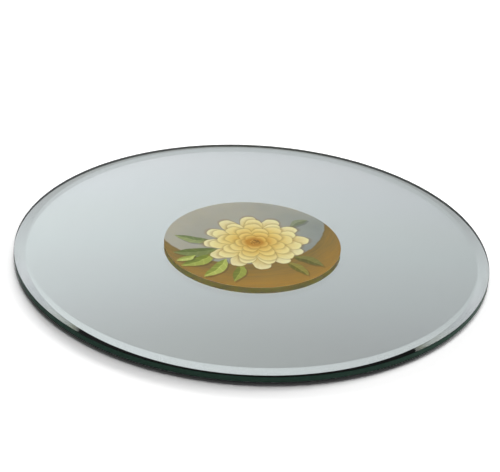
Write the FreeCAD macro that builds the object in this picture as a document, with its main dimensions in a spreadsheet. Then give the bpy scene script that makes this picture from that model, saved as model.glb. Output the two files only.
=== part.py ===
"""Round mirror plate for standing candles on, in millimetres.

A disc of silvered float glass with a narrow flat bevel lies on four round pads. A round printed
label is stuck on the middle of its top face. The plate's axis is Z, the origin lies on that axis
at the level of the table, and the front of the plate faces -Y.
"""
import FreeCAD, Part
import Sketcher
import enum
import math
import os

# Driving sizes in millimetres and degrees: name, value, what it is
SIZES = [
    ("glass_diameter", 200.0, "across the upright edge of the glass"),
    ("glass_thickness", 3.0, "flat top face to underside"),
    ("bevel_width", 5.0, "flat bevel, measured level from its top line to the upright edge"),
    ("bevel_drop", 0.58, "how far the bevel falls over its width"),
    ("edge_arris", 0.15, "fine ground chamfer at the top and bottom of the upright edge"),
    ("silver_thickness", 0.01, "silver with its copper coat"),
    ("paint_thickness", 0.05, "lacquer over the silver"),
    ("label_diameter", 75.0, "printed label"),
    ("label_thickness", 0.1, "coated paper"),
    ("label_adhesive_thickness", 0.03, "glue under the label"),
    ("pad_diameter", 12.0, "foot pad where it meets its adhesive disc"),
    ("pad_height", 1.4, "foot pad without its adhesive disc"),
    ("pad_foot_margin", 0.3, "how much smaller the pad's radius is at the table"),
    ("pad_rounding", 0.4, "radius round the pad's lower edge"),
    ("pad_adhesive_thickness", 0.1, "double-sided disc between pad and lacquer"),
    ("pad_inset", 18.0, "rim of the glass to the middle of a pad"),
    ("first_pad_angle", 45.0, "from +X to the first pad, anticlockwise from above"),
]

# The pads stand at equal angles in this order, anticlockwise from the first pad's angle
PAD_PLACES = ["back_right", "back_left", "front_left", "front_right"]

ZERO = "0"
FULL_TURN_ANGLE = 360

# Radii, as expressions in the sizes
GLASS_RADIUS = "sizes.glass_diameter / 2"
COATED_RADIUS = f"{GLASS_RADIUS} - sizes.edge_arris"
LABEL_RADIUS = "sizes.label_diameter / 2"
PAD_RADIUS = "sizes.pad_diameter / 2"
PAD_FOOT_RADIUS = f"{PAD_RADIUS} - sizes.pad_foot_margin"
PAD_CIRCLE_RADIUS = f"({GLASS_RADIUS} - sizes.pad_inset)"

# The level above the table at which each layer starts, as the sum of what lies under it
TABLE_LEVEL = ZERO
PAD_ADHESIVE_LEVEL = "sizes.pad_height"
PAINT_LEVEL = f"{PAD_ADHESIVE_LEVEL} + sizes.pad_adhesive_thickness"
SILVER_LEVEL = f"{PAINT_LEVEL} + sizes.paint_thickness"
GLASS_LEVEL = f"{SILVER_LEVEL} + sizes.silver_thickness"
LABEL_ADHESIVE_LEVEL = f"{GLASS_LEVEL} + sizes.glass_thickness"
LABEL_LEVEL = f"{LABEL_ADHESIVE_LEVEL} + sizes.label_adhesive_thickness"

# Flat layers of even thickness on the plate's axis: name, radius, thickness, level
LAYERS = [
    ("backing_paint", COATED_RADIUS, "sizes.paint_thickness", PAINT_LEVEL),
    ("silver_film", COATED_RADIUS, "sizes.silver_thickness", SILVER_LEVEL),
    ("label_adhesive", LABEL_RADIUS, "sizes.label_adhesive_thickness", LABEL_ADHESIVE_LEVEL),
    ("label_face", LABEL_RADIUS, "sizes.label_thickness", LABEL_LEVEL),
]


class SketchNumber(enum.IntEnum):
    """How a sketch numbers its own axes and the points of a line or a circle."""

    UPRIGHT_AXIS = -2
    LEVEL_AXIS = -1
    START = 1
    END = 2
    CENTRE = 3


# A sketch's origin is the start of its own level axis
SKETCH_ORIGIN = (SketchNumber.LEVEL_AXIS, SketchNumber.START)


def fill_sheet(document):
    """Put every driving size in the sheet, under its own name."""
    sheet = document.addObject("Spreadsheet::Sheet", "sizes")
    for row, (name, value, note) in enumerate(SIZES, start=1):
        sheet.set(f"A{row}", name)
        sheet.set(f"B{row}", str(value))
        sheet.set(f"C{row}", note)
        sheet.setAlias(f"B{row}", name)
    document.recompute()


def new_body(document, label, level):
    """A body for one piece, lifted to its level above the table."""
    body = document.addObject("PartDesign::Body", label)
    body.Label = label
    body.setExpression("Placement.Base.z", level)
    return body


def new_sketch(body, plane_role):
    """An empty sketch on one of the body's own origin planes."""
    sketch = body.newObject("Sketcher::SketchObject", f"{body.Label}_outline")
    plane = next(item for item in body.Origin.OriginFeatures if item.Role == plane_role)
    sketch.AttachmentSupport = [(plane, "")]
    sketch.MapMode = "FlatFace"
    return sketch


def tie(sketch, kind, *parts):
    """Add one constraint to a sketch and give its number."""
    return sketch.addConstraint(Sketcher.Constraint(kind, *parts))


def hold_size(sketch, kind, parts, name, expression):
    """Add a named constraint whose size follows an expression."""
    number = tie(sketch, kind, *parts, sketch.evalExpression(expression))
    sketch.renameConstraint(number, name)
    sketch.setExpression(f"Constraints.{name}", expression)


def hold_corner(sketch, corner, name, radius, height):
    """Hold one corner of a half outline at its radius and height, or on an axis where that is zero."""
    if radius == ZERO:
        tie(sketch, "PointOnObject", *corner, SketchNumber.UPRIGHT_AXIS)
    else:
        hold_size(sketch, "DistanceX", (*SKETCH_ORIGIN, *corner), f"{name}_radius", radius)
    if height == ZERO:
        tie(sketch, "PointOnObject", *corner, SketchNumber.LEVEL_AXIS)
    else:
        hold_size(sketch, "DistanceY", (*SKETCH_ORIGIN, *corner), f"{name}_height", height)


def profile_sketch(body, corners):
    """A closed half outline beside the Z axis, of straight lines from corner to corner.

    A corner is its name, its radius and its height, the last two as expressions.
    """
    sketch = new_sketch(body, "XZ_Plane")
    points = []
    for name, radius, height in corners:
        points.append(FreeCAD.Vector(sketch.evalExpression(radius), sketch.evalExpression(height), 0))
    for line, point in enumerate(points):
        following = (line + 1) % len(points)
        sketch.addGeometry(Part.LineSegment(point, points[following]), False)
    for line, (name, radius, height) in enumerate(corners):
        following = (line + 1) % len(points)
        tie(sketch, "Coincident", line, SketchNumber.END, following, SketchNumber.START)
        hold_corner(sketch, (line, SketchNumber.START), name, radius, height)
    return sketch


def turn_profile(document, body, corners):
    """The solid that a half outline makes when it turns once about the Z axis."""
    sketch = profile_sketch(body, corners)
    turned = body.newObject("PartDesign::Revolution", f"{body.Label}_turned")
    turned.Profile = sketch
    turned.ReferenceAxis = (sketch, ["V_Axis"])
    turned.Angle = FULL_TURN_ANGLE
    document.recompute()
    return turned


def round_edges(feature, radius_expression):
    """The names of a feature's round edges of one radius."""
    radius = feature.evalExpression(radius_expression)
    names = []
    for number, edge in enumerate(feature.Shape.Edges, start=1):
        if isinstance(edge.Curve, Part.Circle) and math.isclose(edge.Curve.Radius, radius):
            names.append(f"Edge{number}")
    return names


def disc_body(document, label, radius, thickness, level):
    """A flat round layer of even thickness."""
    body = new_body(document, label, level)
    sketch = new_sketch(body, "XY_Plane")
    upward = FreeCAD.Vector(0, 0, 1)
    circle = Part.Circle(FreeCAD.Vector(0, 0, 0), upward, sketch.evalExpression(radius))
    rim = sketch.addGeometry(circle, False)
    tie(sketch, "Coincident", rim, SketchNumber.CENTRE, *SKETCH_ORIGIN)
    hold_size(sketch, "Radius", (rim,), "layer_radius", radius)
    layer = body.newObject("PartDesign::Pad", f"{label}_layer")
    layer.Profile = sketch
    layer.setExpression("Length", thickness)
    return body


def glass_plate(document):
    """The bevelled disc, with the fine arrises that are ground along its upright edge."""
    body = new_body(document, "glass_plate", GLASS_LEVEL)
    bevel_line_radius = f"{GLASS_RADIUS} - sizes.bevel_width"
    edge_height = "sizes.glass_thickness - sizes.bevel_drop"
    corners = [
        ("underside_middle", ZERO, ZERO),
        ("edge_foot", GLASS_RADIUS, ZERO),
        ("edge_head", GLASS_RADIUS, edge_height),
        ("bevel_line", bevel_line_radius, "sizes.glass_thickness"),
        ("top_middle", ZERO, "sizes.glass_thickness"),
    ]
    disc = turn_profile(document, body, corners)
    arris = body.newObject("PartDesign::Chamfer", "ground_arrises")
    arris.Base = (disc, round_edges(disc, GLASS_RADIUS))
    arris.setExpression("Size", "sizes.edge_arris")
    return body


def foot_pad(document, place, turn):
    """One moulded pad, tapered towards the table and rounded at its lower edge."""
    body = new_body(document, f"pad_{place}", TABLE_LEVEL)
    set_on_pad_circle(body, turn)
    corners = [
        ("foot_middle", ZERO, ZERO),
        ("foot_rim", PAD_FOOT_RADIUS, ZERO),
        ("head_rim", PAD_RADIUS, "sizes.pad_height"),
        ("head_middle", ZERO, "sizes.pad_height"),
    ]
    pad = turn_profile(document, body, corners)
    rounding = body.newObject("PartDesign::Fillet", f"pad_{place}_rounding")
    rounding.Base = (pad, round_edges(pad, PAD_FOOT_RADIUS))
    rounding.setExpression("Radius", "sizes.pad_rounding")
    return body


def pad_adhesive(document, place, turn):
    """The double-sided disc that holds one pad to the lacquer."""
    label = f"pad_adhesive_{place}"
    body = disc_body(document, label, PAD_RADIUS, "sizes.pad_adhesive_thickness", PAD_ADHESIVE_LEVEL)
    set_on_pad_circle(body, turn)
    return body


def set_on_pad_circle(body, turn):
    """Move a piece out to the circle of the pads, a turn in degrees past the first pad."""
    body.setExpression("Placement.Base.x", f"{PAD_CIRCLE_RADIUS} * cos(sizes.first_pad_angle + {turn})")
    body.setExpression("Placement.Base.y", f"{PAD_CIRCLE_RADIUS} * sin(sizes.first_pad_angle + {turn})")


def check_document(document, pieces):
    """Stop if any object failed or any piece is empty or broken."""
    for item in document.Objects:
        if "Invalid" in item.State or "Error" in item.State:
            raise RuntimeError(f"{item.Label} failed: {item.State}")
    for piece in pieces:
        if piece.Shape.isNull() or not piece.Shape.isValid() or len(piece.Shape.Solids) != 1:
            raise RuntimeError(f"{piece.Label} isn't one sound solid")


def main():
    """Build the plate's pieces, check them and write each one's file."""
    document = FreeCAD.newDocument("mirror_plate")
    fill_sheet(document)
    pieces = [glass_plate(document)]
    for label, radius, thickness, level in LAYERS:
        pieces.append(disc_body(document, label, radius, thickness, level))
    for number, place in enumerate(PAD_PLACES):
        turn = FULL_TURN_ANGLE * number / len(PAD_PLACES)
        pieces.append(foot_pad(document, place, turn))
        pieces.append(pad_adhesive(document, place, turn))
    document.recompute()
    check_document(document, pieces)
    os.makedirs("parts", exist_ok=True)
    for piece in pieces:
        piece.Shape.exportStep(f"parts/{piece.Label}.step")
        print(f"{piece.Label}: {piece.Shape.Volume:.3f} mm3")


main()
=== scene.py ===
"""Bevelled mirror plate for candles: its finishes, and a pale studio round it.

The construction comes packed as a fixed frame. This script gives each piece the finish of the real
one. It turns the glass again, with a rim fine enough to refract and mirror cleanly, and lays the
label's adhesive again as a clear film, through which the mirror shows the paper's back.
"""
import math

import bmesh
import bpy
from mathutils import Matrix, Vector


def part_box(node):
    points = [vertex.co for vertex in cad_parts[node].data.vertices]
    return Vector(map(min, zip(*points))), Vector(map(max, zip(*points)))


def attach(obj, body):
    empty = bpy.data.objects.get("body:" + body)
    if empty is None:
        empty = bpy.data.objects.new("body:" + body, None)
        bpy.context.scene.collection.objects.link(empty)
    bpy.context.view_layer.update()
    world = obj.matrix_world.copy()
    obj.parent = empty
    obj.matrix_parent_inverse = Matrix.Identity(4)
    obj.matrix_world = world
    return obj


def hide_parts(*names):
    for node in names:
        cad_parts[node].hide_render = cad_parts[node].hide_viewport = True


bl_info = {
    "name": "Bevelled mirror plate",
    "version": (1, 0, 0),
    "blender": (4, 5, 0),
    "location": "3D View > Sidebar > Mirror plate",
    "description": "Finishes of a bevelled mirror plate round its packed frame",
    "category": "Object",
}

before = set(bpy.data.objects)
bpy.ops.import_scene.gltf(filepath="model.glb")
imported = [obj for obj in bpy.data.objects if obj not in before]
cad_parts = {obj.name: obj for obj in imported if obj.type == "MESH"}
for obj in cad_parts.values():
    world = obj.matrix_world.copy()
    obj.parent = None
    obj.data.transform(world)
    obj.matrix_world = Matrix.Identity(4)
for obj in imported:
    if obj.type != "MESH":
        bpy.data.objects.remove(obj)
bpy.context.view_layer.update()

MM = 0.001
BODY = "root"
PADS = tuple(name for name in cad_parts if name.startswith("pad_") and "adhesive" not in name)
PAD_ADHESIVES = tuple(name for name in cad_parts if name.startswith("pad_adhesive"))
LABEL_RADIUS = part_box("label_face")[1].x

# A hair's breadth between pieces that touch, because a ray can't tell two pieces in one plane apart
GLASS_GAP = 0.004 * MM
FILM_GAP = 0.002 * MM


def linear(hex_colour):
    """The linear red, green and blue of an sRGB hex colour."""
    shares = [int(hex_colour[place : place + 2], 16) / 255 for place in (1, 3, 5)]
    return tuple(s / 12.92 if s <= 0.04045 else ((s + 0.055) / 1.055) ** 2.4 for s in shares)


def opaque(colour):
    """What a colour socket takes, from an sRGB hex colour or from a setting that is linear already."""
    return (*(linear(colour) if isinstance(colour, str) else colour), 1)


def add(tree, kind, inputs=None, **settings):
    """Add a node with its settings. An input is found by its place, or by its name among the enabled
    ones. It takes a value, an output, or a node, which stands for its first enabled output."""
    node = tree.nodes.new(kind)
    for name, value in settings.items():
        setattr(node, name, value)
    for key, value in (inputs or {}).items():
        if isinstance(key, str):
            socket = next(entry for entry in node.inputs if entry.enabled and entry.name == key)
        else:
            socket = node.inputs[key]
        if isinstance(value, bpy.types.Node):
            value = next(end for end in value.outputs if end.enabled)
        if isinstance(value, bpy.types.NodeSocket):
            tree.links.new(value, socket)
        else:
            socket.default_value = value
    return node


def new_material(name, draw, *settings):
    """A material of what a function draws in its empty node tree, a surface and sometimes a volume."""
    material = bpy.data.materials.new(name)
    material.use_nodes = True
    tree = material.node_tree
    tree.nodes.clear()
    add(tree, "ShaderNodeOutputMaterial", draw(tree, *settings))
    return material


def new_group(name, kind, *sockets):
    """A node group with its sockets, and the outputs of the node that hands on what it is given."""
    group = bpy.data.node_groups.new(name, kind)
    for way, holds, names in sockets:
        for entry in names:
            group.interface.new_socket(entry, in_out=way, socket_type="NodeSocket" + holds)
    return group, add(group, "NodeGroupInput").outputs


def give_material(node_name, material):
    """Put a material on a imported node."""
    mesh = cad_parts[node_name].data
    mesh.materials.clear()
    mesh.materials.append(material)


def add_object(scene, name, data):
    """A new object at the origin, in the scene."""
    item = bpy.data.objects.new(name, data)
    scene.collection.objects.link(item)
    return item


def mesh_from(form, name):
    """A named mesh from a bmesh, which is used up."""
    mesh = bpy.data.meshes.new(name)
    form.to_mesh(mesh)
    form.free()
    return mesh


def colour_stops(ramp, stops):
    """Set a colour ramp's stops from pairs of a place and an sRGB hex colour."""
    elements = ramp.color_ramp.elements
    while len(elements) < len(stops):
        elements.new(0.5)
    for element, (place, colour) in zip(elements, stops):
        element.position = place
        element.color = opaque(colour)


# The glass

GLASS_IOR = 1.52
FINISHES = ("Clear glass", "Edge glass", "Ground glass")

# The half outline from the axis out along the underside, up the edge and back over the bevel: each
# corner's radius and level, and the finish of the face from it to the next corner
CORNERS = (
    (None, "Underside level", "Clear glass"),
    ("Underside radius", "Underside level", "Ground glass"),
    ("Rim radius", "Edge foot level", "Edge glass"),
    ("Rim radius", "Edge head level", "Ground glass"),
    ("Bevel foot radius", "Bevel foot level", "Clear glass"),
    ("Bevel line radius", "Top level", "Clear glass"),
    (None, "Top level", None),
)

# The bevel falls away at only 6.6 degrees, and the line where it starts has to stay sharp
SHARP_FROM = math.radians(3)

# The rows' ends at the axis, and the last column on the first, become one point each
SAME_POINT = 0.0001 * MM


def glass_outline():
    """The named corners of the glass's half outline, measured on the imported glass."""
    low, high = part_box("glass_plate")
    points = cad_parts["glass_plate"].data.vertices
    circles = {(round(math.hypot(point.co.x, point.co.y), 6), round(point.co.z, 7)) for point in points}
    rim = min(high.x, high.y, -low.x, -low.y)
    top = [radius for radius, level in circles if math.isclose(level, high.z, abs_tol=GLASS_GAP)]
    underside = [radius for radius, level in circles if math.isclose(level, low.z, abs_tol=GLASS_GAP)]
    upright = [level for radius, level in circles if radius > rim - GLASS_GAP]
    sloped = sorted(circle for circle in circles if max(upright) < circle[1] < high.z - GLASS_GAP)
    return {
        "Rim radius": rim,
        "Underside radius": max(underside),
        "Bevel foot radius": sloped[0][0],
        "Bevel line radius": max(top),
        "Underside level": low.z + GLASS_GAP,
        "Edge foot level": min(upright),
        "Edge head level": max(upright),
        "Bevel foot level": sloped[0][1],
        "Top level": high.z - GLASS_GAP,
    }


OUTLINE = glass_outline()


def clear_glass(tree, look):
    """Soda-lime float glass, ground flat along the bevel and polished. Iron in it turns a long way
    through the glass green, which tints the mirror faintly and darkens the bevel's inner edge."""
    clear = {"Roughness": 0.0, "IOR": GLASS_IOR, "Transmission Weight": 1.0}
    surface = add(tree, "ShaderNodeBsdfPrincipled", {"Base Color": opaque("#FFFFFF"), **clear})
    body = add(tree, "ShaderNodeVolumeAbsorption", {"Color": opaque(look.tint), "Density": look.loss})
    return {"Surface": surface, "Volume": body}


def edge_glass(tree, look):
    """Polished edge of float glass. Light that has run through the plate leaves here deep bottle green.
    From inside, the edge gets a flat grey along the far rim: a painted reflection of the pale room below
    it."""
    place = add(tree, "ShaderNodeTexCoord").outputs["Object"]
    # Polishing leaves faint upright streaks about 2 mm apart, which run over the whole height
    streaks = (1 / (2 * MM), 1 / (2 * MM), 1 / (16.667 * MM))
    drawn = add(tree, "ShaderNodeMapping", {"Vector": place, "Scale": streaks})
    uneven = add(tree, "ShaderNodeTexNoise", {"Vector": drawn, "Scale": 1.0, "Detail": 2.0})
    depth = add(tree, "ShaderNodeMapRange", {"Value": uneven, "To Min": 0.85, "To Max": 1.15})
    outside = add(tree, "ShaderNodeVectorMath", {0: look.edge_colour, "Scale": depth}, operation="SCALE")
    # Faces seen from inside the glass get a flat grey, a painted reflection of the room below
    side = add(tree, "ShaderNodeNewGeometry").outputs["Backfacing"]
    blend = {"Factor": side, "A": outside, "B": opaque(look.inner_edge_colour)}
    colour = add(tree, "ShaderNodeMix", blend, data_type="RGBA")
    finish = {"Base Color": colour, "Roughness": 0.3, "IOR": GLASS_IOR, "Specular IOR Level": 0.03}
    surface = add(tree, "ShaderNodeBsdfPrincipled", finish)
    return {"Surface": surface}


def ground_glass(tree, look):
    """Fine arris of float glass, taken off with a stone and left matt. Its near-black green is painted
    shade for the little green light that reaches it, so it draws a thin dark line along the edge."""
    place = add(tree, "ShaderNodeTexCoord").outputs["Object"]
    # The stone's grit leaves pits about 0.2 mm apart
    pits = add(tree, "ShaderNodeTexNoise", {"Vector": place, "Scale": 1 / (0.2 * MM), "Detail": 1.0})
    shade = add(tree, "ShaderNodeMapRange", {"Value": pits, "To Min": 0.6, "To Max": 1.4})
    # The dark base colour is painted shade; the pits only vary it
    colour = add(tree, "ShaderNodeVectorMath", {0: look.arris_colour, "Scale": shade}, operation="SCALE")
    finish = {"Base Color": colour, "Roughness": 0.35, "IOR": GLASS_IOR, "Specular IOR Level": 0.1}
    surface = add(tree, "ShaderNodeBsdfPrincipled", finish)
    return {"Surface": surface}


def turned_glass_tree():
    """Geometry nodes that turn the glass's outline once round the plate's axis.

    A flat grid has one row for each corner. Each point's number tells its row, and so its radius and
    level, and its column, and so how far it is turned. The faces' rows tell which finish they get.
    """
    tree, given = new_group(
        "turned_glass",
        "GeometryNodeTree",
        ("OUTPUT", "Geometry", ["Mesh"]),
        ("INPUT", "Int", ["Steps round the rim"]),
        ("INPUT", "Float", OUTLINE),
        ("INPUT", "Material", FINISHES),
    )
    tree.is_modifier = True
    rows = len(CORNERS)
    steps = given["Steps round the rim"]
    columns = add(tree, "ShaderNodeMath", {0: steps, 1: 1.0}, operation="ADD")
    grid = add(tree, "GeometryNodeMeshGrid", {"Vertices X": columns, "Vertices Y": rows})
    index = add(tree, "GeometryNodeInputIndex")
    row = add(tree, "FunctionNodeIntegerMath", {0: index, 1: rows}, operation="MODULO")
    column = add(tree, "FunctionNodeIntegerMath", {0: index, 1: rows}, operation="DIVIDE_FLOOR")
    share = add(tree, "ShaderNodeMath", {0: column, 1: steps}, operation="DIVIDE")
    angle = add(tree, "ShaderNodeMath", {0: share, 1: math.tau}, operation="MULTIPLY")
    corner = add(tree, "GeometryNodeIndexSwitch", {"Index": row}, data_type="VECTOR")
    while len(corner.index_switch_items) < rows:
        corner.index_switch_items.new()
    for number, (radius, level, _) in enumerate(CORNERS):
        spot = add(tree, "ShaderNodeCombineXYZ", {"Z": given[level]})
        if radius:
            tree.links.new(given[radius], spot.inputs["X"])
        tree.links.new(spot.outputs["Vector"], corner.inputs[str(number)])
    spin = {"Vector": corner, "Angle": angle}
    turned = add(tree, "ShaderNodeVectorRotate", spin, rotation_type="Z_AXIS")
    mesh = add(tree, "GeometryNodeSetPosition", {"Geometry": grid, "Position": turned})
    # The row has to be read while the grid's faces keep their first numbers
    face = add(tree, "FunctionNodeIntegerMath", {0: index, 1: rows - 1}, operation="MODULO")
    kept = {"Geometry": mesh, "Name": "row", "Value": face}
    mesh = add(tree, "GeometryNodeStoreNamedAttribute", kept, data_type="INT", domain="FACE")
    mesh = add(tree, "GeometryNodeMergeByDistance", {"Geometry": mesh, "Distance": SAME_POINT})
    mesh = add(tree, "GeometryNodeSetShadeSmooth", {"Geometry": mesh})
    mesh = add(tree, "GeometryNodeRealizeInstances", {"Geometry": mesh})
    face_row = add(tree, "GeometryNodeInputNamedAttribute", {"Name": "row"}, data_type="INT")
    for name in FINISHES:
        for number, (_, _, finish) in enumerate(CORNERS):
            if finish == name:
                pair = {"A": face_row, "B": number}
                chosen = add(tree, "FunctionNodeCompare", pair, data_type="INT", operation="EQUAL")
                coat = {"Geometry": mesh, "Selection": chosen, "Material": given[name]}
                mesh = add(tree, "GeometryNodeSetMaterial", coat)
    add(tree, "NodeGroupOutput", {"Mesh": mesh})
    return tree


class PLATE_OT_glass(bpy.types.Operator):
    """Turn the bevelled glass disc and give it its polished and ground surfaces"""

    bl_idname = "plate.glass"
    bl_label = "Bevelled glass"

    def execute(self, context):
        look = context.scene.plate_glass
        glass = add_object(context.scene, "bevelled_glass", bpy.data.meshes.new("bevelled_glass"))
        turned = glass.modifiers.new("turned glass", "NODES")
        turned.node_group = turned_glass_tree()
        values = {
            "Steps round the rim": look.steps,
            "Clear glass": new_material("float_glass_polished", clear_glass, look),
            "Edge glass": new_material("float_glass_polished_edge", edge_glass, look),
            "Ground glass": new_material("float_glass_ground_arris", ground_glass, look),
            **OUTLINE,
        }
        sockets = [item for item in turned.node_group.interface.items_tree if item.in_out == "INPUT"]
        for socket in sockets:
            turned[socket.identifier] = values[socket.name]
        depsgraph = context.evaluated_depsgraph_get()
        settled = bpy.data.meshes.new_from_object(glass.evaluated_get(depsgraph))
        glass.modifiers.clear()
        glass.data = settled
        while settled.materials and settled.materials[0] is None:
            settled.materials.pop(index=0)
        if len(settled.materials) != len(FINISHES):
            raise RuntimeError("The glass needs its three finishes")
        settled.set_sharp_from_angle(angle=SHARP_FROM)
        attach(glass, BODY)
        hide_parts("glass_plate")
        return {"FINISHED"}


# The coats under the glass


def silvering(tree):
    """Silver laid on the glass from a bath. Where it shows it mirrors fully, a touch warm, with no
    grain."""
    place = add(tree, "ShaderNodeTexCoord").outputs["Object"]
    # The bath leaves the coat very slightly thicker in patches of about 30 mm
    wide = {"Vector": place, "Scale": 1 / (30.303 * MM), "Detail": 1.0}
    patches = add(tree, "ShaderNodeTexNoise", wide)
    blend = {"Factor": patches, "A": opaque("#F6F7F5"), "B": opaque("#F8F7F6")}
    colour = add(tree, "ShaderNodeMix", blend, data_type="RGBA")
    finish = {"Base Color": colour, "Metallic": 1.0, "Roughness": 0.0}
    surface = add(tree, "ShaderNodeBsdfPrincipled", finish)
    return {"Surface": surface}


def mirror_lacquer(tree, look):
    """Grey mirror-backing lacquer, sprayed on and stoved. It is satin, with a shallow orange peel, small
    cloudy patches and a few specks of dust baked in."""
    place = add(tree, "ShaderNodeTexCoord").outputs["Object"]
    # Orange peel of about 1.5 mm, clouds of 25 mm, specks 4 mm apart
    peel = add(tree, "ShaderNodeTexNoise", {"Vector": place, "Scale": 1 / (1.5385 * MM), "Detail": 1.5})
    clouds = add(tree, "ShaderNodeTexNoise", {"Vector": place, "Scale": 1 / (25 * MM), "Detail": 3.0})
    specks = add(tree, "ShaderNodeTexVoronoi", {"Vector": place, "Scale": 1 / (4 * MM)})
    span = {"Value": specks, "From Min": 0.03, "From Max": 0.07, "To Min": 1.0, "To Max": 0.0}
    speck = add(tree, "ShaderNodeMapRange", span)
    tone = add(tree, "ShaderNodeValToRGB", {"Fac": clouds})
    colour_stops(tone, ((0.3, "#3D4445"), (0.55, "#444B4D"), (0.75, "#4A5253")))
    blend = {"Factor": speck, "A": tone, "B": opaque(look.speck_colour)}
    specked = add(tree, "ShaderNodeMix", blend, data_type="RGBA")
    span = {"Value": clouds, "From Min": 0.3, "From Max": 0.7, "To Min": 0.38, "To Max": 0.5}
    rough = add(tree, "ShaderNodeMapRange", span)
    bump = add(tree, "ShaderNodeBump", {"Height": peel, "Strength": 0.35, "Distance": 0.03 * MM})
    finish = {"Base Color": specked, "Roughness": rough, "IOR": 1.5, "Normal": bump}
    surface = add(tree, "ShaderNodeBsdfPrincipled", finish)
    return {"Surface": surface}


class PLATE_OT_coats(bpy.types.Operator):
    """Finish the silver and the lacquer under the glass"""

    bl_idname = "plate.coats"
    bl_label = "Silver and lacquer"

    def execute(self, context):
        look = context.scene.plate_underside
        give_material("silver_film", new_material("silver_chemically_deposited", silvering))
        give_material("backing_paint", new_material("mirror_lacquer_stoved", mirror_lacquer, look))
        return {"FINISHED"}


# The pads


def foam_pad(tree, look):
    """Closed-cell foam rubber, die cut. It is matt black, with painted shade in its fine cells."""
    place = add(tree, "ShaderNodeTexCoord").outputs["Object"]
    # Cells about 0.35 mm across, in patches of about 2.5 mm that are a little darker or lighter
    cells = add(tree, "ShaderNodeTexVoronoi", {"Vector": place, "Scale": 1 / (0.34483 * MM)})
    wall = add(tree, "ShaderNodeMapRange", {"Value": cells, "From Min": 0.1, "From Max": 0.7})
    mottle = add(tree, "ShaderNodeTexNoise", {"Vector": place, "Scale": 1 / (2.5 * MM), "Detail": 2.0})
    # Walls lighter and hollows darker: painted shade in the cells, varied by the patches' own tone
    light = add(tree, "ShaderNodeMath", {0: wall, 1: mottle}, operation="MULTIPLY")
    blend = {"Factor": light, "A": opaque(look.pad_cell_colour), "B": opaque(look.pad_colour)}
    colour = add(tree, "ShaderNodeMix", blend, data_type="RGBA")
    bump = add(tree, "ShaderNodeBump", {"Height": wall, "Strength": 0.5, "Distance": 0.05 * MM})
    finish = {"Base Color": colour, "Roughness": 0.85, "Specular IOR Level": 0.3, "Normal": bump}
    surface = add(tree, "ShaderNodeBsdfPrincipled", finish)
    return {"Surface": surface}


def pad_glue(tree, look):
    """Acrylic transfer adhesive. It is milky and rubbery, with a faint web of trapped air."""
    place = add(tree, "ShaderNodeTexCoord").outputs["Object"]
    # Air trapped in lines about 1 mm apart
    cells = {"Vector": place, "Scale": 1 / MM}
    web = add(tree, "ShaderNodeTexVoronoi", cells, feature="DISTANCE_TO_EDGE")
    line = add(tree, "ShaderNodeMapRange", {"Value": web, "From Min": 0.02, "From Max": 0.15})
    blend = {"Factor": line, "A": opaque("#DAD7CE"), "B": opaque(look.glue_colour)}
    colour = add(tree, "ShaderNodeMix", blend, data_type="RGBA")
    finish = {"Base Color": colour, "Roughness": 0.35, "IOR": 1.47}
    surface = add(tree, "ShaderNodeBsdfPrincipled", finish)
    return {"Surface": surface}


class PLATE_OT_pads(bpy.types.Operator):
    """Finish the four foam pads and the glue that holds them"""

    bl_idname = "plate.pads"
    bl_label = "Pads"

    def execute(self, context):
        look = context.scene.plate_underside
        foam = new_material("foam_rubber_die_cut", foam_pad, look)
        glue = new_material("acrylic_adhesive_milky", pad_glue, look)
        for name in PADS:
            give_material(name, foam)
        for name in PAD_ADHESIVES:
            give_material(name, glue)
        return {"FINISHED"}


# The label
#
# The print is drawn on a flat plane with the label's middle at 0 and its rim at 1. So a place or a
# length there is a share of the label's radius, and LABEL_RADIUS over a size is that size's scale.

# Petals, reach, turn in petals, notch between petals, and the colours of foot and tip
TIERS = (
    (12, 0.60, 0.15, 0.34, "#CDB266", "#E9E0B0"),
    (11, 0.52, 0.60, 0.32, "#D6BB6C", "#EBDFA6"),
    (9, 0.43, 0.10, 0.30, "#D9B963", "#E9D898"),
    (8, 0.335, 0.75, 0.30, "#D8B259", "#E8D38A"),
    (6, 0.24, 0.30, 0.28, "#CFA14A", "#E5CA7A"),
    (5, 0.15, 0.80, 0.26, "#B98636", "#E0BE69"),
)
BLOSSOM_CENTRE = (0.03, 0.02, 0.0)
PETAL_SHADOW = "#8A6A34"
PETAL_SHADOW_REACH = 0.055
PETAL_SHADOW_DEPTH = 0.42
BUTTON_TONES = ((0.0, "#E7CF83"), (0.35, "#C0913C"), (0.7, "#7E5A24"))

# Each leaf's foot, its turn in degrees, its length and half width, and its dark and light colours
LEAVES = (
    (-0.38, -0.18, 196, 0.52, 0.100, "#5E6E3A", "#8B9560"),
    (-0.40, -0.28, 222, 0.50, 0.095, "#6D7B35", "#B4BE62"),
    (-0.28, -0.40, 243, 0.48, 0.085, "#7C8A3A", "#C3CC70"),
    (-0.44, -0.02, 168, 0.46, 0.080, "#66774A", "#A3AD78"),
    (-0.12, -0.48, 262, 0.42, 0.075, "#6B7434", "#A8B056"),
    (-0.62, -0.36, 214, 0.26, 0.050, "#8D9A45", "#CBD482"),
    (0.44, -0.26, -28, 0.42, 0.080, "#5F5F35", "#8C8A50"),
    (0.36, -0.38, -48, 0.40, 0.070, "#66632F", "#A09A52"),
    (0.42, 0.42, 46, 0.30, 0.062, "#6F785F", "#98A084"),
)
LEAF_SHADOW = "#38382C"
LEAF_SHADOW_SLIDE = (0.018, -0.027)
LEAF_SHADOW_DEPTH = 0.35

# The ground, pale to deep, and the brown crescent, which is what lies outside a circle that is set off
# towards the upper left
GROUND_TONES = ((0.15, "#ACAA9C"), (0.38, "#A2A297"), (0.6, "#959A93"), (0.85, "#8A918C"))
CRESCENT_CENTRE = (-0.16, 0.47, 0.0)
CRESCENT_EDGE = (0.965, 0.985)
CRESCENT_TONES = ((0.2, "#746541"), (0.42, "#887446"), (0.62, "#9A7C42"), (0.85, "#AB853D"))


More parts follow.
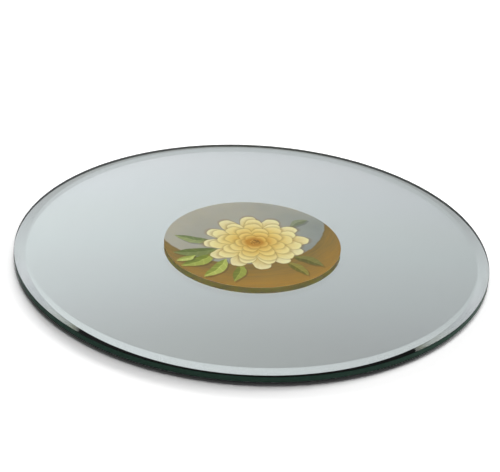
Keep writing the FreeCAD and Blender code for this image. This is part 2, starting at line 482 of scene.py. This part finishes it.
def petal_tier_group():
    """A group that draws one ring of petals round its middle.

    Along a petal its outline runs out to the reach, and falls in to a notch where it meets the next.
    Cover is where the ring is, Depth runs from 0 at a petal's foot to 1 at its tip, Side runs from -1
    to 1 across it, Outside is how far a point lies beyond the ring, and Fleck is each petal's chance.
    """
    group, given = new_group(
        "petal_tier",
        "ShaderNodeTree",
        ("INPUT", "Vector", ["Vector"]),
        ("INPUT", "Float", ["Petals", "Reach", "Turn", "Notch"]),
        ("OUTPUT", "Float", ["Cover", "Depth", "Side", "Outside", "Fleck"]),
    )
    petals, reach, turn = given["Petals"], given["Reach"], given["Turn"]
    part = add(group, "ShaderNodeSeparateXYZ", {"Vector": given["Vector"]}).outputs
    radius = add(group, "ShaderNodeVectorMath", {0: given["Vector"]}, operation="LENGTH")
    angle = add(group, "ShaderNodeMath", {0: part["Y"], 1: part["X"]}, operation="ARCTAN2")
    circle = add(group, "ShaderNodeMath", {0: angle, 1: math.tau}, operation="DIVIDE")
    count = add(group, "ShaderNodeMath", {0: circle, 1: petals, 2: turn}, operation="MULTIPLY_ADD")
    # Each petal's own number, the same on both sides of where the angle starts again, gives its chance
    number = add(group, "ShaderNodeMath", {0: count}, operation="FLOOR")
    own_number = add(group, "ShaderNodeMath", {0: number, 1: petals}, operation="FLOORED_MODULO")
    seed = add(group, "ShaderNodeMath", {0: reach, 1: 37.0, 2: own_number}, operation="MULTIPLY_ADD")
    chance = add(group, "ShaderNodeTexWhiteNoise", {"W": seed}, noise_dimensions="1D").outputs["Value"]
    share = add(group, "ShaderNodeMath", {0: count}, operation="FRACT")
    side = add(group, "ShaderNodeMath", {0: share, 1: 2.0, 2: -1.0}, operation="MULTIPLY_ADD")
    away = add(group, "ShaderNodeMath", {0: side}, operation="ABSOLUTE")
    round_off = add(group, "ShaderNodeMath", {0: away, 1: 2.6}, operation="POWER")
    fall = add(group, "ShaderNodeMath", {0: round_off, 1: given["Notch"]}, operation="MULTIPLY")
    grown = add(group, "ShaderNodeMapRange", {"Value": chance, "To Min": 1.03, "To Max": 0.95})
    left = add(group, "ShaderNodeMath", {0: grown, 1: fall}, operation="SUBTRACT")
    edge = add(group, "ShaderNodeMath", {0: left, 1: reach}, operation="MULTIPLY")
    outside = add(group, "ShaderNodeMath", {0: radius, 1: edge}, operation="SUBTRACT")
    span = {"Value": outside, "From Min": -0.008, "From Max": 0.008, "To Min": 1.0, "To Max": 0.0}
    cover = add(group, "ShaderNodeMapRange", span, interpolation_type="SMOOTHSTEP")
    depth = add(group, "ShaderNodeMath", {0: radius, 1: edge}, operation="DIVIDE")
    ends = {"Cover": cover, "Depth": depth, "Side": side, "Outside": outside, "Fleck": chance}
    add(group, "NodeGroupOutput", ends)
    return group


def leaf_group():
    """A group that draws one leaf, from its foot at 0 to its tip at 1 on X, and its widest at 1 on Y.

    Cover is where the leaf is, and Light is its shade: brighter on one side of the rib, along the rib
    and on the side veins.
    """
    group, given = new_group(
        "leaf",
        "ShaderNodeTree",
        ("INPUT", "Vector", ["Vector"]),
        ("OUTPUT", "Float", ["Cover", "Light"]),
    )
    part = add(group, "ShaderNodeSeparateXYZ", {"Vector": given["Vector"]}).outputs
    turn = add(group, "ShaderNodeMath", {0: part["X"], 1: math.pi}, operation="MULTIPLY")
    hump = add(group, "ShaderNodeMath", {0: turn}, operation="SINE")
    # The rib is bowed, so the leaf curls to one side
    bent = add(group, "ShaderNodeMath", {0: hump, 1: -0.45, 2: part["Y"]}, operation="MULTIPLY_ADD")
    full = add(group, "ShaderNodeMath", {0: hump, 1: 0.0}, operation="MAXIMUM")
    width = add(group, "ShaderNodeMath", {0: full, 1: 0.8}, operation="POWER")
    away = add(group, "ShaderNodeMath", {0: bent}, operation="ABSOLUTE")
    inside = add(group, "ShaderNodeMath", {0: width, 1: away}, operation="SUBTRACT")
    span = {"Value": inside, "From Min": 0.02, "From Max": 0.14}
    body = add(group, "ShaderNodeMapRange", span, interpolation_type="SMOOTHSTEP")
    # Further out the sine is above zero again, so the leaf is cut off at its ends
    middle = add(group, "ShaderNodeMath", {0: part["X"], 1: 0.5, 2: 0.5}, operation="COMPARE")
    cover = add(group, "ShaderNodeMath", {0: body, 1: middle}, operation="MULTIPLY")
    span = {"Value": bent, "From Min": -0.25, "From Max": 0.25, "To Min": 0.15, "To Max": 0.65}
    facing = add(group, "ShaderNodeMapRange", span, interpolation_type="SMOOTHSTEP")
    span = {"Value": away, "From Min": 0.03, "From Max": 0.12, "To Min": 0.4, "To Max": 0.0}
    rib = add(group, "ShaderNodeMapRange", span, interpolation_type="SMOOTHSTEP")
    # Side veins run forward from the rib, four or five to each side
    back = add(group, "ShaderNodeMath", {0: away, 1: -1.1}, operation="MULTIPLY")
    veins = add(group, "ShaderNodeMath", {0: part["X"], 1: 9.0, 2: back}, operation="MULTIPLY_ADD")
    wave = add(group, "ShaderNodeMath", {0: veins, 1: 1.0}, operation="PINGPONG")
    span = {"Value": wave, "From Max": 0.3, "To Min": 0.22, "To Max": 0.0}
    vein = add(group, "ShaderNodeMapRange", span)
    lines = add(group, "ShaderNodeMath", {0: rib, 1: vein}, operation="ADD")
    light = add(group, "ShaderNodeMath", {0: facing, 1: lines}, operation="ADD", use_clamp=True)
    add(group, "NodeGroupOutput", {"Cover": cover, "Light": light})
    return group


def backdrop(tree, spot):
    """The print's ground: soft grey green, and a brown crescent along the lower right with its grain."""
    part = add(tree, "ShaderNodeSeparateXYZ", {"Vector": spot}).outputs
    # Clouds of about 23 mm, paler towards the upper left
    clouds = add(
        tree,
        "ShaderNodeTexNoise",
        {"Vector": spot, "Scale": LABEL_RADIUS / (23.4375 * MM), "Detail": 3.0, "Roughness": 0.55},
    )
    slope = add(tree, "ShaderNodeMath", {0: part["X"], 1: 0.33, 2: 0.15}, operation="MULTIPLY_ADD")
    lift = add(tree, "ShaderNodeMath", {0: part["Y"], 1: -0.22, 2: slope}, operation="MULTIPLY_ADD")
    tone = add(tree, "ShaderNodeMath", {0: clouds, 1: 0.7, 2: lift}, operation="MULTIPLY_ADD")
    ground = add(tree, "ShaderNodeValToRGB", {"Fac": tone})
    colour_stops(ground, GROUND_TONES)
    away = add(tree, "ShaderNodeVectorMath", {0: spot, 1: CRESCENT_CENTRE}, operation="DISTANCE")
    span = {"Value": away, "From Min": CRESCENT_EDGE[0], "From Max": CRESCENT_EDGE[1]}
    crescent = add(tree, "ShaderNodeMapRange", span, interpolation_type="SMOOTHSTEP")
    # Grain runs round the same circle, about 1.25 mm from line to line
    across = add(tree, "ShaderNodeVectorMath", {0: spot, 1: CRESCENT_CENTRE}, operation="SUBTRACT")
    way = add(tree, "ShaderNodeSeparateXYZ", {"Vector": across}).outputs
    turn = add(tree, "ShaderNodeMath", {0: way["Y"], 1: way["X"]}, operation="ARCTAN2")
    rings = add(tree, "ShaderNodeCombineXYZ", {"X": away, "Y": turn})
    line_scale = (LABEL_RADIUS / (1.25 * MM), 2.5, 1.0)
    drawn = add(tree, "ShaderNodeMapping", {"Vector": rings, "Scale": line_scale})
    grain = add(tree, "ShaderNodeTexNoise", {"Vector": drawn, "Scale": 1.0, "Detail": 3.0})
    glow = add(tree, "ShaderNodeMath", {0: away, 1: 0.75, 2: -0.62}, operation="MULTIPLY_ADD")
    browns = add(tree, "ShaderNodeMath", {0: grain, 1: 0.55, 2: glow}, operation="MULTIPLY_ADD")
    brown = add(tree, "ShaderNodeValToRGB", {"Fac": browns})
    colour_stops(brown, CRESCENT_TONES)
    return add(tree, "ShaderNodeMix", {"Factor": crescent, "A": ground, "B": brown}, data_type="RGBA")


def leaf_at(tree, group, spot, x, y, turn, length, half_width):
    """Draw a leaf with its foot at a place, turned by some degrees, and give back its outputs."""
    room = add(
        tree,
        "ShaderNodeMapping",
        {
            "Vector": spot,
            "Location": (x, y, 0.0),
            "Rotation": (0.0, 0.0, math.radians(turn)),
            "Scale": (length, half_width, 1.0),
        },
        vector_type="TEXTURE",
    )
    return add(tree, "ShaderNodeGroup", {"Vector": room}, node_tree=group).outputs


def leaves_over(tree, spot, below):
    """Lay each leaf over what is below it, with a soft shadow first."""
    group = leaf_group()
    slide_x, slide_y = LEAF_SHADOW_SLIDE
    for x, y, turn, length, half_width, dark, light in LEAVES:
        shadow = leaf_at(tree, group, spot, x + slide_x, y + slide_y, turn, length, half_width)["Cover"]
        part = add(tree, "ShaderNodeMath", {0: shadow, 1: LEAF_SHADOW_DEPTH}, operation="MULTIPLY")
        blend = {"Factor": part, "A": below, "B": opaque(LEAF_SHADOW)}
        below = add(tree, "ShaderNodeMix", blend, data_type="RGBA")
        leaf = leaf_at(tree, group, spot, x, y, turn, length, half_width)
        blend = {"Factor": leaf["Light"], "A": opaque(dark), "B": opaque(light)}
        shade = add(tree, "ShaderNodeMix", blend, data_type="RGBA")
        blend = {"Factor": leaf["Cover"], "A": below, "B": shade}
        below = add(tree, "ShaderNodeMix", blend, data_type="RGBA")
    return below


def blossom_over(tree, spot, below):
    """Lay the tiers of petals over what is below them, the widest first, each with its shadow."""
    group = petal_tier_group()
    centred = add(tree, "ShaderNodeVectorMath", {0: spot, 1: BLOSSOM_CENTRE}, operation="SUBTRACT")
    # Fine ribs along the petals, drawn as long flecks about 0.5 mm wide
    part = add(tree, "ShaderNodeSeparateXYZ", {"Vector": centred}).outputs
    bearing = add(tree, "ShaderNodeMath", {0: part["Y"], 1: part["X"]}, operation="ARCTAN2")
    middle = add(tree, "ShaderNodeVectorMath", {0: centred}, operation="LENGTH")
    polar = add(tree, "ShaderNodeCombineXYZ", {"X": bearing, "Y": middle})
    drawn = add(tree, "ShaderNodeMapping", {"Vector": polar, "Scale": (26.0, 7.0, 1.0)})
    flecks = add(tree, "ShaderNodeTexNoise", {"Vector": drawn, "Scale": 1.0, "Detail": 2.0})
    rib = add(tree, "ShaderNodeMapRange", {"Value": flecks, "To Min": -0.22, "To Max": 0.22})
    for petals, reach, turn, notch, foot, tip in TIERS:
        tier = add(
            tree,
            "ShaderNodeGroup",
            {"Vector": centred, "Petals": petals, "Reach": reach, "Turn": turn, "Notch": notch},
            node_tree=group,
        ).outputs
        shadow = add(
            tree,
            "ShaderNodeMapRange",
            {
                "Value": tier["Outside"],
                "From Max": PETAL_SHADOW_REACH,
                "To Min": PETAL_SHADOW_DEPTH,
                "To Max": 0.0,
            },
            interpolation_type="SMOOTHSTEP",
        )
        blend = {"Factor": shadow, "A": below, "B": opaque(PETAL_SHADOW)}
        below = add(tree, "ShaderNodeMix", blend, data_type="RGBA")
        # A petal is darker at its foot and along its sides, and no two are quite alike
        away = add(tree, "ShaderNodeMath", {0: tier["Side"]}, operation="ABSOLUTE")
        hollow = add(tree, "ShaderNodeMath", {0: away, 1: 3.0}, operation="POWER")
        span = {"Value": tier["Depth"], "From Min": 0.55, "From Max": 0.98}
        tall = add(tree, "ShaderNodeMapRange", span)
        worn = add(tree, "ShaderNodeMath", {0: hollow, 1: -0.45, 2: tall}, operation="MULTIPLY_ADD")
        own = add(tree, "ShaderNodeMath", {0: tier["Fleck"], 1: 0.3, 2: -0.15}, operation="MULTIPLY_ADD")
        mixed = add(tree, "ShaderNodeMath", {0: worn, 1: own}, operation="ADD")
        light = add(tree, "ShaderNodeMath", {0: mixed, 1: rib}, operation="ADD", use_clamp=True)
        blend = {"Factor": light, "A": opaque(foot), "B": opaque(tip)}
        colour = add(tree, "ShaderNodeMix", blend, data_type="RGBA")
        blend = {"Factor": tier["Cover"], "A": below, "B": colour}
        below = add(tree, "ShaderNodeMix", blend, data_type="RGBA")
    # The middle is a button of amber grains about 1.1 mm across
    beads = {"Vector": centred, "Scale": LABEL_RADIUS / (1.10294 * MM)}
    grains = add(tree, "ShaderNodeTexVoronoi", beads)
    span = {"Value": middle, "From Min": 0.05, "From Max": 0.065, "To Min": 1.0, "To Max": 0.0}
    button = add(tree, "ShaderNodeMapRange", span)
    grain = add(tree, "ShaderNodeValToRGB", {"Fac": grains})
    colour_stops(grain, BUTTON_TONES)
    return add(tree, "ShaderNodeMix", {"Factor": button, "A": below, "B": grain}, data_type="RGBA")


def printed_paper(tree, look):
    """Coated paper with a four-colour print and a thin varnish, smooth and half glossy. A little light
    comes through the sheet, so its back glows a dark warm brown where the mirror shows it."""
    place = add(tree, "ShaderNodeTexCoord").outputs["Object"]
    flat = (1 / LABEL_RADIUS, 1 / LABEL_RADIUS, 0.0)
    drawn = add(tree, "ShaderNodeMapping", {"Vector": place, "Scale": flat})
    # A slight waver of the drawn lines, about 0.4 mm to and fro over 5 mm
    waver = add(
        tree,
        "ShaderNodeTexNoise",
        {"Vector": drawn, "Scale": LABEL_RADIUS / (5.3571 * MM), "Detail": 2.0},
    ).outputs["Color"]
    off = add(tree, "ShaderNodeVectorMath", {0: waver, 1: (0.5, 0.5, 0.5)}, operation="SUBTRACT")
    small = add(tree, "ShaderNodeVectorMath", {0: off, "Scale": 0.045}, operation="SCALE")
    shaky = add(tree, "ShaderNodeVectorMath", {0: drawn, 1: small}, operation="ADD")
    spot = add(tree, "ShaderNodeVectorMath", {0: shaky, 1: (1.0, 1.0, 0.0)}, operation="MULTIPLY")
    ink = backdrop(tree, spot)
    ink = leaves_over(tree, spot, ink)
    ink = blossom_over(tree, spot, ink)
    # Only what faces up is printed: the cut edge and the back show the paper
    facing = add(tree, "ShaderNodeNewGeometry").outputs["True Normal"]
    upright = add(tree, "ShaderNodeSeparateXYZ", {"Vector": facing}).outputs["Z"]
    printed = add(tree, "ShaderNodeMath", {0: upright, 1: 0.5}, operation="GREATER_THAN")
    blend = {"Factor": printed, "A": opaque(look.paper_colour), "B": ink}
    colour = add(tree, "ShaderNodeMix", blend, data_type="RGBA")
    # Paper fibres under the varnish, about 0.4 mm
    fibres = add(tree, "ShaderNodeTexNoise", {"Vector": place, "Scale": 1 / (0.4 * MM), "Detail": 2.0})
    rough = add(tree, "ShaderNodeMapRange", {"Value": fibres, "To Min": 0.4, "To Max": 0.52})
    bump = add(tree, "ShaderNodeBump", {"Height": fibres, "Strength": 0.12, "Distance": 0.01 * MM})
    surface = add(
        tree,
        "ShaderNodeBsdfPrincipled",
        {
            "Base Color": colour,
            "Roughness": rough,
            "IOR": 1.45,
            "Normal": bump,
            "Subsurface Weight": 1.0,
            "Subsurface Radius": (1.0, 0.85, 0.55),
            "Subsurface Scale": look.light_depth,
        },
        subsurface_method="RANDOM_WALK",
    )
    return {"Surface": surface}


def label_glue(tree):
    """Clear acrylic adhesive, faintly yellow. It wets glass and paper, so hardly any light turns back at
    its faces, and the paper's back shows through it. Its IOR is kept low for that."""
    place = add(tree, "ShaderNodeTexCoord").outputs["Object"]
    # The coat is a little thicker in patches about 2 mm across
    patches = add(tree, "ShaderNodeTexNoise", {"Vector": place, "Scale": 1 / (2 * MM), "Detail": 2.0})
    blend = {"Factor": patches, "A": opaque("#FFFEF8"), "B": opaque("#FFFCF0")}
    colour = add(tree, "ShaderNodeMix", blend, data_type="RGBA")
    finish = {"Base Color": colour, "Roughness": 0.0, "IOR": 1.03, "Transmission Weight": 1.0}
    surface = add(tree, "ShaderNodeBsdfPrincipled", finish)
    return {"Surface": surface}


class PLATE_OT_label(bpy.types.Operator):
    """Print the round paper label, and lay its clear adhesive as a film of its own"""

    bl_idname = "plate.label"
    bl_label = "Printed label"

    def execute(self, context):
        look = context.scene.plate_label
        give_material("label_face", new_material("coated_paper_printed", printed_paper, look))
        low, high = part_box("label_adhesive")
        depth = high.z - low.z - 2 * FILM_GAP
        if depth < FILM_GAP:
            raise RuntimeError("The adhesive is too thin to lie clear of the glass and the paper")
        form = bmesh.new()
        bmesh.ops.create_cone(
            form,
            cap_ends=True,
            segments=look.film_sides,
            radius1=high.x,
            radius2=high.x,
            depth=depth,
            matrix=Matrix.Translation((0, 0, (low.z + high.z) / 2)),
        )
        film = add_object(context.scene, "label_glue_film", mesh_from(form, "label_glue_film"))
        film.data.materials.append(new_material("acrylic_adhesive_clear", label_glue))
        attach(film, BODY)
        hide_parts("label_adhesive")
        return {"FINISHED"}


# The studio

# Height on the tent's wall in degrees, as seen from its middle, and the wall's colour there
WRAP = (
    (0, "#E7E7E7"), (9, "#E1E2DB"), (10.5, "#D7DACB"), (13, "#E7EAE8"),
    (16, "#EBEDED"), (19, "#E5E6EB"), (22, "#E4E5EB"), (24, "#EDEBF1"),
    (25.5, "#E9E9EF"), (27, "#E4E5E9"), (28.5, "#DEE0E4"), (30, "#D7D8DC"),
    (31.5, "#D0D1D5"), (33, "#C8C8CC"), (34.5, "#C0C0C3"), (36, "#BBBBBD"),
    (38, "#B6B7B9"), (43, "#B1B2B4"), (60, "#BCBCBC"), (90, "#CBCBCB"),
)

# From a quarter of the radius left of the middle to a quarter right of it, the wall loses brightness
LEAN_REACH = 0.25
LEAN_LEFT = 1.15
LEAN_RIGHT = 0.79

# Glossy faces get a third of the wall's light, so that the varnish and the edge don't look wet
GLOSS_SHARE = 0.35

# The table, as a linear grey: how it lights the plate, and how it shows, so that it runs into white
FLOOR_LIT = 0.8
FLOOR_SHOWN = 1.32

# The room's even light, as a linear grey
ROOM = 0.10

# Name, bearing clockwise from the front in degrees, height in degrees, distance, width, length, watts
LAMPS = (
    ("ceiling_softbox", 180, 86, 3.0, 1.1, 1.1, 25.7),
    ("high_softbox", 150, 60, 3.0, 1.6, 1.6, 14.5),
    ("right_softbox", 130, 25, 3.0, 1.7, 1.7, 57.0),
    ("left_softbox", 195, 16, 3.0, 1.7, 1.5, 94.0),
)


def white_floor(tree):
    """A pale matt studio table. It shows whiter to the camera than it lights the plate."""
    camera = add(tree, "ShaderNodeLightPath").outputs["Is Camera Ray"]
    lit, shown = opaque([FLOOR_LIT] * 3), opaque([FLOOR_SHOWN] * 3)
    colour = add(tree, "ShaderNodeMix", {"Factor": camera, "A": lit, "B": shown}, data_type="RGBA")
    surface = add(tree, "ShaderNodeBsdfDiffuse", {"Color": colour})
    return {"Surface": surface}


def tent_cloth(tree, radius):
    """Lit cloth of a light tent, which only the mirror and the glossy faces show. It is palest low down
    and to the left, and grey overhead."""
    place = add(tree, "ShaderNodeTexCoord").outputs["Object"]
    spot = add(tree, "ShaderNodeVectorMath", {0: place, "Scale": 1 / radius}, operation="SCALE")
    part = add(tree, "ShaderNodeSeparateXYZ", {"Vector": spot}).outputs
    wrap = add(tree, "ShaderNodeValToRGB", {"Fac": part["Z"]})
    colour_stops(wrap, [(math.sin(math.radians(height)), colour) for height, colour in WRAP])
    lean = add(
        tree,
        "ShaderNodeMapRange",
        {
            "Value": part["X"],
            "From Min": -LEAN_REACH,
            "From Max": LEAN_REACH,
            "To Min": LEAN_LEFT,
            "To Max": LEAN_RIGHT,
        },
    )
    cloth = add(tree, "ShaderNodeVectorMath", {0: wrap, "Scale": lean}, operation="SCALE")
    through = add(tree, "ShaderNodeLightPath").outputs["Is Transmission Ray"]
    share = add(tree, "ShaderNodeMapRange", {"Value": through, "To Min": GLOSS_SHARE})
    glow = add(tree, "ShaderNodeEmission", {"Color": cloth, "Strength": share})
    return {"Surface": glow}


def studio_world():
    """White to the camera, and faint even light on everything."""
    world = bpy.data.worlds.new("studio")
    world.use_nodes = True
    tree = world.node_tree
    tree.nodes.clear()
    camera = add(tree, "ShaderNodeLightPath").outputs["Is Camera Ray"]
    lit, shown = opaque([ROOM] * 3), opaque("#FFFFFF")
    colour = add(tree, "ShaderNodeMix", {"Factor": camera, "A": lit, "B": shown}, data_type="RGBA")
    background = add(tree, "ShaderNodeBackground", {"Color": colour})
    add(tree, "ShaderNodeOutputWorld", {"Surface": background})
    return world


def pitch_tent(scene, radius):
    """Stand a half-round tent over the plate. The lamps' light and the camera's view pass through it."""
    form = bmesh.new()
    bmesh.ops.create_uvsphere(form, u_segments=64, v_segments=32, radius=radius)
    below = [point for point in form.verts if point.co.z < -MM]
    bmesh.ops.delete(form, geom=below, context="VERTS")
    bmesh.ops.reverse_faces(form, faces=form.faces)
    tent = add_object(scene, "light_tent", mesh_from(form, "light_tent"))
    tent.data.materials.append(new_material("light_tent_cloth", tent_cloth, radius))
    tent.visible_camera = False
    tent.visible_diffuse = False
    tent.visible_shadow = False


def lay_floor(scene, reach):
    """Lay the square table that the plate stands on."""
    sheet = bpy.data.meshes.new("studio_floor")
    corners = [(-reach, -reach, 0), (reach, -reach, 0), (reach, reach, 0), (-reach, reach, 0)]
    sheet.from_pydata(corners, [], [(0, 1, 2, 3)])
    sheet.materials.append(new_material("studio_floor_white_matt", white_floor))
    floor = add_object(scene, "studio_floor", sheet)


def hang_lamp(scene, name, bearing, height, distance, width, length, watts):
    """Hang a softbox that points at the plate. Mirror and glass don't show it."""
    light = bpy.data.lights.new(name, "AREA")
    light.shape = "ELLIPSE"
    light.size = width
    light.size_y = length
    light.energy = watts
    lamp = add_object(scene, name, light)
    level = math.cos(math.radians(height)) * distance
    turn = math.radians(bearing)
    rise = distance * math.sin(math.radians(height))
    lamp.location = (level * math.sin(turn), -level * math.cos(turn), rise)
    lamp.rotation_mode = "QUATERNION"
    lamp.rotation_quaternion = (-lamp.location).to_track_quat("-Z", "Y")
    lamp.visible_glossy = False
    lamp.visible_transmission = False


def stand_camera(scene, look):
    """Stand the camera in its place, aim it, and turn it about its own axis."""
    camera = bpy.data.cameras.new("camera")
    camera.sensor_width = 36.0
    camera.lens = look.lens
    eye = add_object(scene, "camera", camera)
    place = Vector(look.camera_place)
    level = (Vector(look.camera_aim) - place).to_track_quat("-Z", "Y").to_matrix().to_4x4()
    eye.matrix_world = Matrix.Translation(place) @ level @ Matrix.Rotation(look.camera_roll, 4, "Z")
    scene.camera = eye


class PLATE_OT_stage(bpy.types.Operator):
    """Lay the floor, light it and set up the camera"""

    bl_idname = "plate.stage"
    bl_label = "Studio"

    def execute(self, context):
        scene = context.scene
        look = scene.plate_studio
        lay_floor(scene, look.floor_reach)
        pitch_tent(scene, look.tent_radius)
        scene.world = studio_world()
        scene.view_settings.view_transform = "Standard"
        for lamp in LAMPS:
            hang_lamp(scene, *lamp)
        stand_camera(scene, look)
        return {"FINISHED"}


# Settings, panel and registration

COLOUR = {"subtype": "COLOR", "min": 0.0, "max": 1.0}
DISTANCE = {"subtype": "DISTANCE", "unit": "LENGTH"}
PLACE = {"subtype": "TRANSLATION", "unit": "LENGTH", "precision": 4}


class PlateGlassSettings(bpy.types.PropertyGroup):
    """What a user would change on the glass"""

    steps: bpy.props.IntProperty(
        name="Steps round the rim",
        description="How many straight pieces the rim is made of",
        default=720,
        min=48,
        max=2000,
    )
    tint: bpy.props.FloatVectorProperty(
        name="Tint",
        description="Colour that the glass keeps over a long way through it",
        default=linear("#00D5B6"),
        **COLOUR,
    )
    loss: bpy.props.FloatProperty(
        name="Loss",
        description="Share of the most absorbed colour that each metre of glass takes, as a rate",
        default=15.0,
        min=0.0,
        max=200.0,
    )
    edge_colour: bpy.props.FloatVectorProperty(
        name="Edge",
        description="Bottle green of the edge, seen from outside",
        default=linear("#3D584C"),
        **COLOUR,
    )
    # A flat grey standing for the room mirrored in the edge from inside: a painted reflection
    inner_edge_colour: bpy.props.FloatVectorProperty(
        name="Edge from inside",
        description="Grey of the edge, seen through the glass",
        default=linear("#6C6F6F"),
        **COLOUR,
    )
    # The arrises' near-black green is painted shade for the little light that reaches them
    arris_colour: bpy.props.FloatVectorProperty(
        name="Arris",
        description="Dark green of the fine ground arrises",
        default=linear("#19291F"),
        **COLOUR,
    )


class PlateUndersideSettings(bpy.types.PropertyGroup):
    """What a user would change under the glass"""

    speck_colour: bpy.props.FloatVectorProperty(
        name="Specks",
        description="Colour of the dust specks in the lacquer",
        default=linear("#697072"),
        **COLOUR,
    )
    pad_colour: bpy.props.FloatVectorProperty(
        name="Pad",
        description="Colour of the foam's cell walls",
        default=linear("#2B2B2D"),
        **COLOUR,
    )
    # The darker colour in the foam's cells is painted shade in their hollows
    pad_cell_colour: bpy.props.FloatVectorProperty(
        name="Pad cells",
        description="Colour in the foam's cells",
        default=linear("#151516"),
        **COLOUR,
    )
    glue_colour: bpy.props.FloatVectorProperty(
        name="Pad adhesive",
        description="Milky colour of the pads' adhesive",
        default=linear("#C6C2B6"),
        **COLOUR,
    )


class PlateLabelSettings(bpy.types.PropertyGroup):
    """What a user would change on the label"""

    paper_colour: bpy.props.FloatVectorProperty(
        name="Paper",
        description="White of the unprinted paper",
        default=linear("#ECE8DA"),
        **COLOUR,
    )
    light_depth: bpy.props.FloatProperty(
        name="Light depth",
        description="How far light spreads in the paper",
        default=0.23 * MM,
        min=0.01 * MM,
        max=1.0 * MM,
        precision=5,
        unit="LENGTH",
    )
    film_sides: bpy.props.IntProperty(
        name="Film sides",
        description="How many straight pieces the adhesive film's edge is made of",
        default=256,
        min=32,
        max=1000,
    )


class PlateStudioSettings(bpy.types.PropertyGroup):
    """How large the studio's floor and tent are, and how the camera stands"""

    floor_reach: bpy.props.FloatProperty(
        name="Floor",
        description="How far the floor runs each way",
        default=0.6,
        min=0.3,
        **DISTANCE,
    )
    tent_radius: bpy.props.FloatProperty(
        name="Tent",
        description="How far the light tent's wall is from its middle",
        default=1.2,
        min=0.3,
        **DISTANCE,
    )
    lens: bpy.props.FloatProperty(
        name="Lens",
        description="Focal length in millimetres",
        default=103.49,
        min=10.0,
        max=500.0,
    )
    camera_place: bpy.props.FloatVectorProperty(
        name="Camera",
        description="Where the camera stands",
        default=(0.0, -0.5347, 0.2973),
        **PLACE,
    )
    camera_aim: bpy.props.FloatVectorProperty(
        name="Aim",
        description="The point on the table that the camera looks at",
        default=(-0.00128, 0.01447, 0.0),
        **PLACE,
    )
    camera_roll: bpy.props.FloatProperty(
        name="Roll",
        description="How far the camera is turned about its own axis",
        default=math.radians(3.286),
        subtype="ANGLE",
        unit="ROTATION",
    )


SETTINGS = {
    "plate_glass": PlateGlassSettings,
    "plate_underside": PlateUndersideSettings,
    "plate_label": PlateLabelSettings,
    "plate_studio": PlateStudioSettings,
}

OPERATORS = (PLATE_OT_glass, PLATE_OT_coats, PLATE_OT_pads, PLATE_OT_label, PLATE_OT_stage)


class PLATE_PT_sidebar(bpy.types.Panel):
    """The plate's settings and the steps that make it"""

    bl_idname = "PLATE_PT_sidebar"
    bl_label = "Mirror plate"
    bl_space_type = "VIEW_3D"
    bl_region_type = "UI"
    bl_category = "Mirror plate"

    def draw(self, context):
        for attribute, group in SETTINGS.items():
            box = self.layout.box()
            for name in group.__annotations__:
                box.prop(getattr(context.scene, attribute), name)
        for operator in OPERATORS:
            self.layout.operator(operator.bl_idname)


CLASSES = (*SETTINGS.values(), *OPERATORS, PLATE_PT_sidebar)


def register():
    for item in CLASSES:
        bpy.utils.register_class(item)
    for attribute, group in SETTINGS.items():
        setattr(bpy.types.Scene, attribute, bpy.props.PointerProperty(type=group))


def unregister():
    for attribute in SETTINGS:
        delattr(bpy.types.Scene, attribute)
    for item in reversed(CLASSES):
        bpy.utils.unregister_class(item)


def main():
    register()
    bpy.ops.plate.glass()
    bpy.ops.plate.coats()
    bpy.ops.plate.pads()
    bpy.ops.plate.label()
    bpy.ops.plate.stage()


if __name__ == "__main__":
    main()
